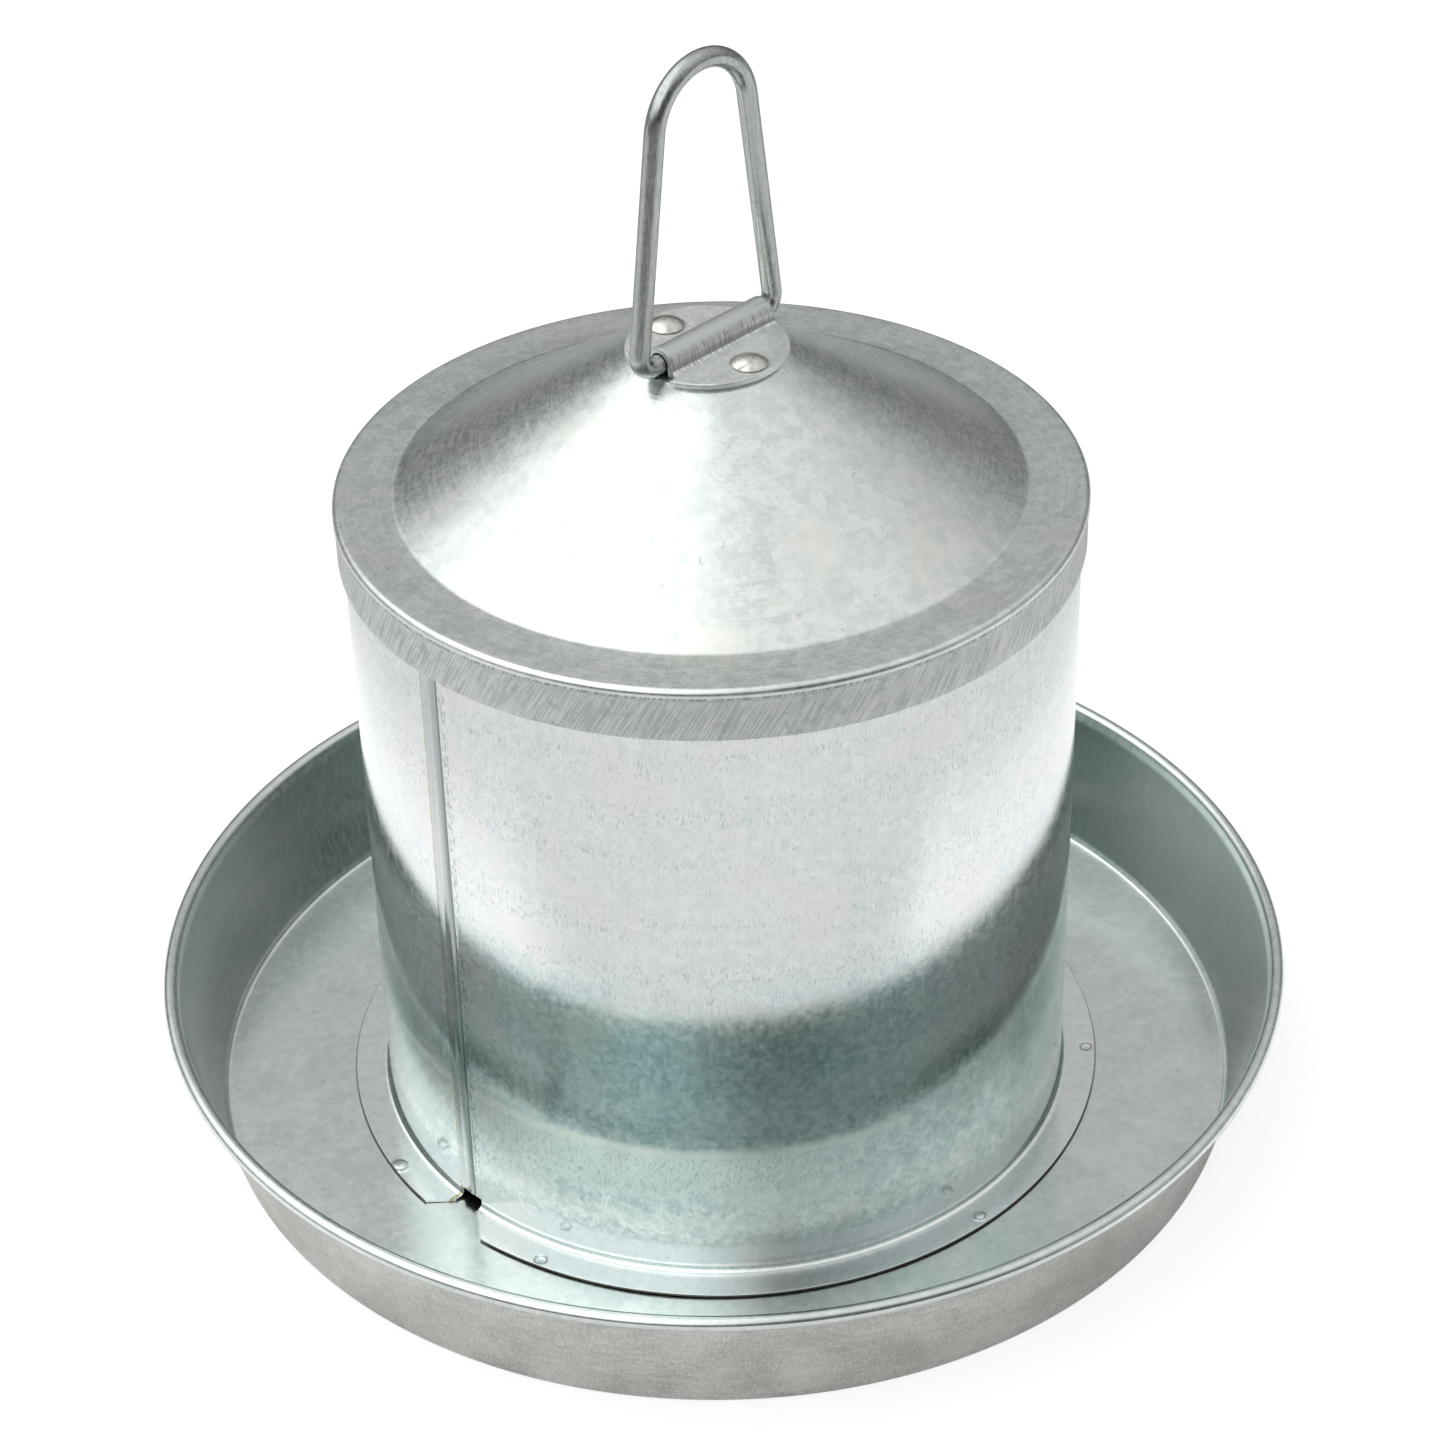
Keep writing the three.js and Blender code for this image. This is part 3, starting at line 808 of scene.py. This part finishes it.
# ------------------------------------------------------------------ sheet of the wall and the tank
def zinc_sheet():
    """Galvanised sheet of the outer wall and the bell tank: upright dashes, marbled low down under a
    painted shade tint, painted light under the scuffed line, painted shade at the sides and foot.
    """
    m = Recipe("galvanised_wall")
    streak = m.noise(m.stretched(1, 1, 0.05), 0.8, 3, 0.6)
    mottle = m.noise(m.place, 2.2, 4, 0.65)
    marble = m.noise(m.place, 4.2, 5, 0.72, 0.8)
    cloud = m.noise(m.place, 24, 3, 0.55)
    crystal = m.cells(m.place, 3.0)
    shade = m.weigh((streak, 0.24), (mottle, 0.46), (crystal, 0.08), (marble, 0.12))
    colour = m.mix(m.span(shade, 0.30, 0.62), tone(0.73, 0.775, 0.79), tone(0.88, 0.905, 0.915))
    # Low down the sheet is marbled and tinted teal; the teal tint is painted shade from the tray.
    marbled = m.span(m.weigh((marble, 0.7), (mottle, 0.3)), 0.38, 0.62)
    low_marble_and_shade_tint = m.mix(marbled, tone(0.62, 0.725, 0.75), tone(0.90, 0.975, 0.985))
    low = m.times(m.fade(m.z, MARBLE_AND_SHADE_TO_Z, BAND_TOP_Z), m.span(m.z, 3, 14))
    colour = m.mix(low, colour, low_marble_and_shade_tint)
    # Under the scuffed line the sheet is painted lighter, a painted light, except towards the right.
    painted_light_under_line = m.times(m.fade(m.z, 37, 42, 0.8), m.span(m.z, 18, 34), m.fade(m.x, 0, 50))
    colour = m.mix(painted_light_under_line, colour, tone(0.90, 0.965, 0.95))
    colour = m.mix(m.span(cloud, 0.48, 0.64, 0.0, 0.5), colour, tone(0.84, 0.82, 0.79))
    # The dashes stand in level belts.
    belt = m.span(m.noise(m.stretched(0.03, 0.03, 1), 6.0, 2, 0.5), 0.42, 0.60, 0.25, 1.0)
    dash = m.span(m.noise(m.stretched(1, 1, 0.30), 0.45, 1, 0.5), 0.56, 0.66)
    colour = m.mix(m.times(dash, belt, 0.50), colour, tone(0.42, 0.49, 0.52))
    speck = m.span(m.noise(m.place, 1.3, 2, 0.5), 0.68, 0.76)
    colour = m.mix(m.times(speck, 0.45), colour, tone(0.33, 0.39, 0.41))
    colour = foot_marks_light_and_shade(m, colour, mottle)
    colour = seam_tint(m, colour)
    # A patina dulls the band at both sides.
    patina = m.times(
        m.span(m.absolute(m.x), 22, 62),
        m.span(m.z, 50, 64),
        m.fade(m.z, 88, BAND_TOP_Z),
        m.span(marble, 0.36, 0.62, 0.36, 0.24),
    )
    m.feed(m.shader.inputs["Metallic"], m.minus(1.0, patina))
    rough = m.span(m.weigh((streak, 0.3), (mottle, 0.7)), 0.35, 0.65, 0.10, 0.18)
    return m.finish(colour, rough, m.bump(m.weigh((streak, 0.2), (mottle, 0.8)), 0.006))


def foot_marks_light_and_shade(m, colour, mottle):
    """Painted shade on the sides and at the foot, the scuffed line over them, painted light on the
    flange's top, painted shadow at its edge, and its welds.
    """
    ragged = m.times(m.minus(mottle, 0.5), 9.0)
    height = m.plus(m.z, ragged)
    # Painted shade on the left and right sides of the wall, low down.
    sides = m.times(m.span(m.absolute(m.x), 66, 84), m.fade(m.z, 42, 60, 0.65))
    colour = m.mix(sides, colour, tone(0.50, 0.58, 0.56))
    # Painted shade just above the foot: a painted reflection of the darker floor beside the wall.
    foot_reflection_shade = m.times(m.span(m.z, FOOT_Z + 2.4, FOOT_Z + 3.4), m.fade(height, 9, 16, 0.58))
    colour = m.mix(foot_reflection_shade, colour, tone(0.36, 0.43, 0.43))
    smear = m.times(m.span(height, 12, 16), m.fade(height, 17, 24, 0.16))
    colour = m.mix(smear, colour, tone(0.80, 0.79, 0.71))
    line = m.fade(m.apart(m.plus(m.z, m.times(ragged, 0.2)), SCUFF_Z), 0.5, 2.2)
    front_left = m.fade(m.plus(m.y, m.times(m.x, 0.35)), -80, -62, 0.85)
    colour = m.mix(m.times(line, front_left), colour, tone(0.985, 0.975, 0.93))
    # The flange's top is painted lighter: painted light.
    flat = m.times(
        m.fade(m.z, FLANGE_TOP_Z + 0.3, FLANGE_TOP_Z + 0.8, 0.7),
        m.span(mottle, 0.3, 0.6, 0.6, 1.0),
    )
    colour = m.mix(flat, colour, tone(0.93, 0.95, 0.95))
    on_flange = m.fade(m.z, FLANGE_TOP_Z + 0.6, FLANGE_TOP_Z + 1.2)
    # Painted shadow along the flange's outer edge.
    edge = m.times(on_flange, m.span(m.radius(), FOOT_R - 0.16, FOOT_R - 0.04))
    colour = m.mix(edge, colour, tone(0.13, 0.12, 0.105))
    for bearing, radius, _, size in SPOT_WELDS:
        x, y = polar(radius, bearing)
        away = m.minus(m.hypot(m.minus(m.x, x), m.minus(m.y, y)), m.times(mottle, 1.4))
        ring = m.fade(m.apart(away, size * 0.95 - 0.7), 0.1, 0.5, 0.7)
        stain = m.times(ring, on_flange, m.span(mottle, 0.35, 0.55))
        colour = m.mix(stain, colour, tone(0.22, 0.20, 0.17))
    return colour


def seam_tint(m, colour):
    """The seam: a duller strip, old brown flux down its left edge, and grime on its right."""
    off = m.times(m.from_bearing(SEAM_DEG), WALL_R)
    half = SEAM_WIDTH / 2
    ragged = m.noise(m.place, 1.6, 3, 0.7)
    fine = m.noise(m.stretched(1, 1, 0.4), 0.8, 3, 0.7)
    wander = m.times(m.minus(ragged, 0.5), 0.5)
    colour = m.mix(m.fade(m.absolute(off), half - 0.2, half, 0.55), colour, tone(0.47, 0.50, 0.51))
    right_third = m.times(m.span(off, 0.5, 1.1), m.fade(off, half - 0.1, half + 0.1, 0.45))
    colour = m.mix(right_third, colour, tone(0.34, 0.37, 0.38))
    left_edge = m.absolute(m.plus(off, half + 0.1, wander))
    flux = m.times(m.fade(left_edge, 0.2, 0.6), m.span(ragged, 0.32, 0.5, 0.35, 0.95))
    colour = m.mix(flux, colour, tone(0.44, 0.36, 0.20))
    crease = m.fade(m.apart(off, half + 0.2), 0.15, 0.45, 0.85)
    colour = m.mix(crease, colour, tone(0.19, 0.23, 0.23))
    grime = m.times(m.fade(m.apart(off, half + 1.9), 0.3, 1.7), m.span(fine, 0.48, 0.60), 0.7)
    return m.mix(grime, colour, tone(0.30, 0.37, 0.36))


# ------------------------------------------------------------------ sheet of the tray
def tray_sheet():
    """Galvanised sheet of the tray: cloudy floor, drawn wall painted dark as a reflection, brushed
    brownish outside.
    """
    m = Recipe("galvanised_tray")
    mottle = m.noise(m.place, 2.6, 4, 0.65)
    cloud = m.noise(m.place, 20, 4, 0.55)
    streak = m.noise(m.stretched(1, 1, 0.06), 0.9, 3, 0.6)
    crystal = m.cells(m.place, 4.2)
    shade = m.weigh((mottle, 0.5), (cloud, 0.4), (crystal, 0.10))
    bottom = m.mix(m.span(shade, 0.34, 0.68), tone(0.67, 0.725, 0.705), tone(0.82, 0.855, 0.84))
    on_wall = m.times(m.span(m.z, 1.6, 3.2), m.fade(m.z, 34.5, 36.2))
    colour = m.mix(on_wall, bottom, drawn_wall_light_and_shade(m, streak, cloud))
    # Painted shadow where the flange stands on the tray floor.
    colour = m.mix(flange_foot_shadow(m), colour, tone(0.085, 0.075, 0.06))
    outside = tray_outside(m)
    upright = m.noise(m.stretched(1, 1, 0.10), 0.45, 2, 0.6)
    level = m.noise(m.stretched(0.06, 0.06, 1), 0.45, 2, 0.6)
    brushed = m.weigh((upright, 0.35), (level, 0.25), (cloud, 0.40))
    skin = m.mix(m.span(brushed, 0.40, 0.60), tone(0.56, 0.55, 0.535), tone(0.80, 0.79, 0.77))
    colour = m.mix(outside, colour, skin)
    speck = m.span(m.noise(m.place, 1.4, 2, 0.5), 0.68, 0.76)
    colour = m.mix(m.times(speck, 0.4), colour, tone(0.30, 0.34, 0.33))
    rough = m.span(m.weigh((streak, 0.5), (mottle, 0.5)), 0.35, 0.65, 0.16, 0.26)
    rough = m.plus(rough, m.times(outside, 0.10))
    normal = m.bump(m.weigh((mottle, 0.7), (streak, 0.4)), 0.005)
    return m.finish(colour, rough, m.bump(m.times(brushed, outside), 0.02, normal))


def drawn_wall_light_and_shade(m, streak, cloud):
    """Inside of the tray's wall, painted dark as a reflection of dim surroundings: painted light in
    front and towards the rim, painted shade at both sides.
    """
    grain = m.span(m.weigh((streak, 0.6), (cloud, 0.4)), 0.38, 0.62)
    drawn = m.mix(grain, tone(0.40, 0.45, 0.425), tone(0.54, 0.585, 0.56))
    # Painted light on the front of the wall and towards the rim.
    front = m.times(m.fade(m.y, -105, -60), 0.9)
    drawn = m.mix(front, drawn, tone(0.76, 0.82, 0.81))
    drawn = m.mix(m.span(m.z, 12, 27, 0.0, 0.55), drawn, tone(0.86, 0.92, 0.91))
    shaded = tone(0.24, 0.27, 0.25)
    right = m.times(m.span(m.x, 60, 105), m.span(m.y, -60, -15), 0.85)
    drawn = m.mix(right, drawn, shaded)
    far_left = m.times(m.fade(m.x, -130, -95), m.span(m.y, -90, -40), 0.45)
    return m.mix(far_left, drawn, shaded)


def flange_foot_shadow(m):
    """Painted shadow on the tray floor: a thin dark ring round the flange, except at its opening."""
    crevice = m.fade(m.apart(m.radius(), FOOT_R + 0.1), 0.1, 0.4, 0.55)
    closed = m.absolute(m.from_bearing(SEAM_DEG + 2.3))
    closed = m.span(closed, math.radians(7.0), math.radians(8.0))
    return m.times(crevice, m.fade(m.z, 1.4, 1.8), closed)


def tray_outside(m):
    """1 on the outer skin of the tray's flared wall, 0 on the inner skin and the rim."""
    slope = (RIM_ROLL_R_CENTRE - RIM_ROLL_R + SHEET - TRAY_BASE_R) / (RIM_ROLL_Z - TRAY_CORNER_R)
    mid_sheet = m.plus(m.times(m.minus(m.z, TRAY_CORNER_R), slope), TRAY_BASE_R - SHEET / 2)
    return m.times(m.math("GREATER_THAN", m.radius(), mid_sheet), m.fade(m.z, 34.2, 35.4))


# ------------------------------------------------------------------ sheet of the lid
def spun_sheet():
    """The lid: turned marks round the cone, fine drag lines on the skirt, spangle flecks."""
    m = Recipe("spun_lid")
    r = m.radius()
    across_x = m.times(m.math("DIVIDE", m.x, r), 1.6)
    across_y = m.times(m.math("DIVIDE", m.y, r), 1.6)
    turned_line = m.noise(m.combine(r, across_x, across_y), 0.55, 2, 0.5)
    mottle = m.noise(m.place, 1.8, 4, 0.7)
    marble = m.noise(m.place, 5.5, 4, 0.7, 0.8)
    cloud = m.noise(m.place, 22, 3, 0.5)
    crystal = m.cells(m.place, 3.4)
    shade = m.weigh((mottle, 0.34), (turned_line, 0.14), (crystal, 0.12), (marble, 0.40))
    colour = m.mix(m.span(shade, 0.36, 0.64), tone(0.68, 0.73, 0.715), tone(0.87, 0.90, 0.885))
    bright = m.span(m.noise(m.place, 3.1, 3, 0.6, 1.2), 0.62, 0.70, 0.0, 0.5)
    colour = m.mix(bright, colour, tone(0.94, 0.95, 0.93))
    fleck = m.span(m.noise(m.stretched(1, 0.6, 1), 2.1, 3, 0.65, 1.4), 0.64, 0.71, 0.0, 0.55)
    colour = m.mix(fleck, colour, tone(0.40, 0.46, 0.48))
    colour = m.mix(m.span(cloud, 0.5, 0.66, 0.0, 0.4), colour, tone(0.84, 0.82, 0.77))
    drag = drag_lines(m)
    on_skirt = m.fade(m.z, SKIRT_STEP_Z - 1.0, SKIRT_STEP_Z + 0.6)
    grain = m.span(m.weigh((drag, 0.60), (mottle, 0.40)), 0.36, 0.64)
    skirt_tone = m.mix(grain, tone(0.48, 0.50, 0.485), tone(0.70, 0.715, 0.70))
    skirt_tone = m.mix(m.span(marble, 0.52, 0.66, 0.0, 0.5), skirt_tone, tone(0.36, 0.395, 0.42))
    colour = m.mix(on_skirt, colour, skirt_tone)
    # A painted shadow line under the step at the lid's corner.
    step = m.fade(m.apart(m.z, SKIRT_STEP_Z + 0.25), 0.2, 0.55, 0.8)
    colour = m.mix(m.times(step, m.span(drag, 0.40, 0.60, 0.4, 1.0)), colour, tone(0.20, 0.21, 0.20))
    rough = m.span(m.weigh((mottle, 0.6), (turned_line, 0.4)), 0.35, 0.65, 0.24, 0.36)
    rough = m.plus(rough, m.times(on_skirt, 0.14))
    groove = m.math("SINE", m.times(r, TAU / SPIN_GROOVE_PITCH))
    on_cone = m.span(m.z, ANNULUS_Z + 0.4, ANNULUS_Z + 2.5)
    normal = m.bump(m.weigh((mottle, 0.6), (turned_line, 0.25)), 0.007)
    normal = m.bump(m.times(groove, on_cone), 0.0022, normal)
    normal = m.bump(m.times(drag, on_skirt), 0.010, normal)
    return m.finish(colour, rough, normal)


def drag_lines(m):
    """Lines that climb round the skirt: the plan is turned with height before noise is read."""
    turn = m.times(m.z, 0.006)
    cos, sin = m.math("COSINE", turn), m.math("SINE", turn)
    px = m.plus(m.times(m.x, cos), m.times(m.y, sin))
    py = m.minus(m.times(m.y, cos), m.times(m.x, sin))
    return m.noise(m.combine(px, py, m.times(m.z, 0.05)), 0.40, 0, 0.5)


# ------------------------------------------------------------------ small parts
def hinge_directions(m):
    """How far along the hinge pin and how far beside it a point of the surface lies, in mm."""
    along = m.weigh((m.x, HINGE_COS), (m.y, HINGE_SIN))
    off = m.minus(m.times(m.y, HINGE_COS), m.times(m.x, HINGE_SIN))
    return along, off


def plate_steel():
    """Hinge plate: bright, finely scratched, dark ticks where the knuckle was pressed up."""
    m = Recipe("hinge_plate_steel")
    along, off = hinge_directions(m)
    grain = m.noise(m.combine(m.times(along, 0.12), off, m.z), 0.35, 3, 0.6)
    mottle = m.noise(m.place, 1.4, 4, 0.65)
    tick = m.noise(m.combine(along, m.times(off, 0.10), 0.0), 0.40, 1, 0.5)
    beside = m.absolute(off)
    foot = m.times(m.span(beside, 2.4, 3.9), m.fade(beside, 4.3, 5.8))
    shade = m.weigh((mottle, 0.6), (grain, 0.4))
    colour = m.mix(m.span(shade, 0.38, 0.62), tone(0.83, 0.865, 0.845), tone(0.955, 0.965, 0.95))
    on_knuckle = m.fade(beside, KNUCKLE_R, KNUCKLE_R + PLATE_THICK, 0.6)
    colour = m.mix(on_knuckle, colour, tone(0.56, 0.58, 0.55))
    mark = m.times(foot, m.span(tick, 0.50, 0.60), 0.75)
    colour = m.mix(mark, colour, tone(0.24, 0.235, 0.21))
    # Painted shade in the crease at the foot of the knuckle.
    crease = m.fade(m.apart(beside, KNUCKLE_R + PLATE_THICK + 0.15), 0.1, 0.35, 0.7)
    colour = m.mix(crease, colour, tone(0.16, 0.165, 0.155))
    rough = m.span(shade, 0.38, 0.62, 0.38, 0.48)
    normal = m.bump(m.plus(mottle, m.times(grain, 0.5)), 0.004)
    return m.finish(colour, rough, m.bump(m.times(tick, foot), 0.03, normal))


def wire_steel():
    """Drawn wire: satin, with fine lines along it and small rubbed marks."""
    m = Recipe("bail_wire_steel")
    along, off = hinge_directions(m)
    drawn_out = m.combine(m.times(along, 0.5), m.times(off, 2.2), m.times(m.z, 0.06))
    drawn_line = m.noise(drawn_out, 0.5, 3, 0.6)
    mottle = m.noise(m.place, 1.2, 4, 0.6)
    shade = m.weigh((mottle, 0.35), (drawn_line, 0.65))
    colour = m.mix(m.span(shade, 0.38, 0.62), tone(0.42, 0.445, 0.435), tone(0.60, 0.615, 0.605))
    rough = m.span(shade, 0.38, 0.62, 0.18, 0.30)
    return m.finish(colour, rough, m.bump(shade, 0.008))


def rivet_nickel():
    """Rivet heads: plated, a little warm, with tiny tool marks."""
    m = Recipe("rivet_plating")
    mottle = m.noise(m.place, 1.1, 4, 0.6)
    tool_mark = m.noise(m.place, 0.4, 2, 0.5)
    colour = m.mix(m.span(mottle, 0.38, 0.62), tone(0.66, 0.635, 0.59), tone(0.80, 0.78, 0.74))
    rough = m.span(mottle, 0.38, 0.62, 0.16, 0.28)
    return m.finish(colour, rough, m.bump(m.plus(mottle, tool_mark), 0.008))


def seal_rubber():
    """Sealing washers: matt black rubber."""
    m = Recipe("seal_rubber", 0.0)
    mottle = m.noise(m.place, 0.7, 4, 0.6)
    colour = m.mix(m.span(mottle, 0.35, 0.65), tone(0.018, 0.018, 0.018), tone(0.045, 0.045, 0.043))
    rough = m.span(mottle, 0.35, 0.65, 0.6, 0.85)
    return m.finish(colour, rough, m.bump(mottle, 0.03))


def dress(piece, material):
    """Gives a piece, or a CAD node that stays in view, its material."""
    piece.data.materials.clear()
    piece.data.materials.append(material)


# ------------------------------------------------------------------ studio
def sky():
    """Light from a bright soft box on the left up to overhead, and a dimmer room on the right.

    It darkens low down in front and at the back. The camera itself sees plain white.
    """
    world = bpy.data.worlds.new("studio")
    bpy.context.scene.world = world
    world.use_nodes = True
    tree = world.node_tree
    tree.nodes.clear()
    m = Nodes(tree)
    coord = tree.nodes.new("ShaderNodeTexCoord")
    split = tree.nodes.new("ShaderNodeSeparateXYZ")
    tree.links.new(coord.outputs["Generated"], split.inputs[0])
    x, y, z = split.outputs
    room = m.plus(m.times(z, 0.52), m.span(z, 0.6, 1.0, 0.20, 0.34))
    room = m.times(room, m.span(x, 0.15, 0.7, 1.0, 1.22))
    soft_box = m.span(z, 0.05, 0.52, 0.30, 1.52)
    # The edge between them leans: it passes overhead and lies further left low down at the back.
    low = m.minus(1.0, z)
    shift = m.times(low, 1.17, m.span(y, -0.3, 0.3))
    width = m.plus(m.times(low, 0.5), 0.12)
    side = m.math("DIVIDE", m.plus(x, shift), width)
    level = m.plus(m.times(room, m.span(side, -1.0, 1.0)), m.times(soft_box, m.fade(side, -1.0, 1.0)))
    height = m.minus(z, m.span(x, -0.2, 0.2, 0.0, 0.30))
    front = m.times(m.fade(y, -0.75, -0.25), m.fade(height, 0.2, 0.5), 0.72)
    back = m.times(m.span(y, 0.3, 0.8), m.fade(z, 0.25, 0.60, 0.42))
    level = m.times(level, m.minus(1.0, front), m.minus(1.0, back))
    light = tree.nodes.new("ShaderNodeBackground")
    light.inputs["Color"].default_value = tone(0.985, 1.0, 0.985)
    tree.links.new(level, light.inputs["Strength"])
    seen = tree.nodes.new("ShaderNodeBackground")
    seen.inputs["Color"].default_value = tone(1.0, 1.0, 1.0)
    out = tree.nodes.new("ShaderNodeOutputWorld")
    m.by_ray(light.outputs[0], seen.outputs[0], out.inputs["Surface"])


def floor():
    """A studio floor: near white to the camera, with a soft shadow.

    The sheet metal mirrors it as pale round the object, with a brighter ring beside and behind
    it, and greyer far in front and far behind.
    """
    half, drop = 6.0, 0.0001
    outline = ((-half, -half), (half, -half), (half, half), (-half, half))
    piece = link("studio_floor", [(x, y, -drop) for x, y in outline], [(0, 1, 2, 3)])
    m = Recipe("studio_floor_paint", 0.0)
    m.shader.inputs["Specular IOR Level"].default_value = 0.0
    back, front = m.span(m.y, 150, 520), m.fade(m.y, -680, -400)
    albedo = m.mix(back, tone(0.90, 0.90, 0.90), tone(0.42, 0.43, 0.42))
    albedo = m.mix(front, albedo, tone(0.30, 0.30, 0.30))
    far = m.radius()
    ring = m.times(m.span(far, 155, 185, 0.0, 0.34), m.fade(far, 210, 300), m.span(m.y, -175, -115))
    m.shader.inputs["Emission Color"].default_value = tone(1.0, 1.0, 1.0)
    m.feed(m.shader.inputs["Emission Strength"], ring)
    m.finish(albedo, 0.9)
    plain = m.tree.nodes.new("ShaderNodeBsdfDiffuse")
    plain.inputs["Color"].default_value = tone(0.32, 0.32, 0.32)
    glow = m.tree.nodes.new("ShaderNodeEmission")
    glow.inputs["Strength"].default_value = 0.80
    seen = m.tree.nodes.new("ShaderNodeAddShader")
    m.tree.links.new(plain.outputs[0], seen.inputs[0])
    m.tree.links.new(glow.outputs[0], seen.inputs[1])
    m.by_ray(m.shader.outputs[0], seen.outputs[0], m.tree.nodes["Material Output"].inputs["Surface"])
    dress(piece, m.material)


def camera():
    """The camera of the main view: in front, 35 degrees above the horizon, long lens."""
    place = Vector((1.4, -787.4, 652.2)) * MM
    tilt, roll = 0.6052, -0.0251
    forward = Vector((0, math.cos(tilt), -math.sin(tilt)))
    right = Vector((1, 0, 0))
    up = right.cross(forward)
    cam_x = math.cos(roll) * right + math.sin(roll) * up
    cam_y = -math.sin(roll) * right + math.cos(roll) * up
    data = bpy.data.cameras.new("camera")
    data.sensor_width = 36.0
    data.lens = 92.16
    data.clip_start, data.clip_end = 0.05, 50.0
    thing = bpy.data.objects.new("camera", data)
    thing.matrix_world = Matrix((
        (cam_x.x, cam_y.x, -forward.x, place.x),
        (cam_x.y, cam_y.y, -forward.y, place.y),
        (cam_x.z, cam_y.z, -forward.z, place.z),
        (0, 0, 0, 1),
    ))
    bpy.context.scene.collection.objects.link(thing)
    bpy.context.scene.camera = thing


def build():
    """Makes every piece and gives it its material. The locks stay as the CAD has them."""
    galvanised, nickel, rubber = zinc_sheet(), rivet_nickel(), seal_rubber()
    dress(make_tray(), tray_sheet())
    dress(make_outer_wall(), galvanised)
    dress(make_tank(), galvanised)
    dress(make_lid(), spun_sheet())
    dress(make_hinge_plate(), plate_steel())
    dress(make_bail(), wire_steel())
    for number, side in ((1, 1), (2, -1)):
        dress(make_rivet(number, side), nickel)
        dress(make_washer(number, side), rubber)
    for name, node in frame["nodes"].items():
        if name.startswith("lock_"):
            dress(node, galvanised)


camera()
sky()
floor()
build()
bpy.context.scene.view_settings.view_transform = "Standard"
bpy.context.scene.cycles.glossy_bounces = 10
